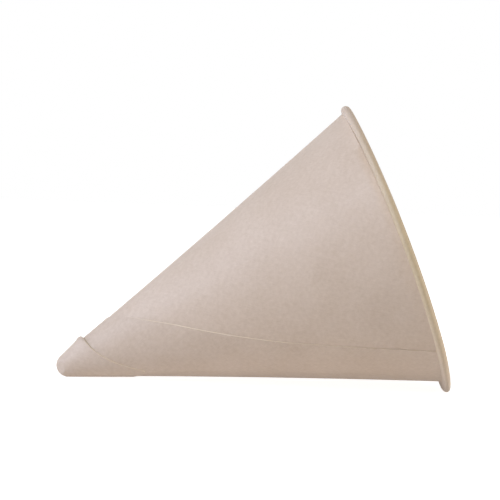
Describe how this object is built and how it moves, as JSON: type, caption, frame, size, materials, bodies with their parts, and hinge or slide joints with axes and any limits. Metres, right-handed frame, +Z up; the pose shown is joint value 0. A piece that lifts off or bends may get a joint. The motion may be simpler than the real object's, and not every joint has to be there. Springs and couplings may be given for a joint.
{
  "type": "cone paper cup",
  "caption": "Cone-shaped paper cup lying on its side: one sheet rolled into a cone with a lapped seam, a wrapped blunt tip and a rolled rim.",
  "frame": {"origin": "on the table under the middle of the cup's box, as it lies on its tip and the lowest point of its rim", "axes": "+X from the tip to the mouth along the cup's length, +Y across it to the left of the mouth, +Z up"},
  "size_m": [0.099, 0.0758, 0.0703],
  "materials": {
    "cup_paper": "uncoated natural paper"
  },
  "bodies": {
    "root": {"paper_cup": "cup_paper"}
  },
  "joints": []
}
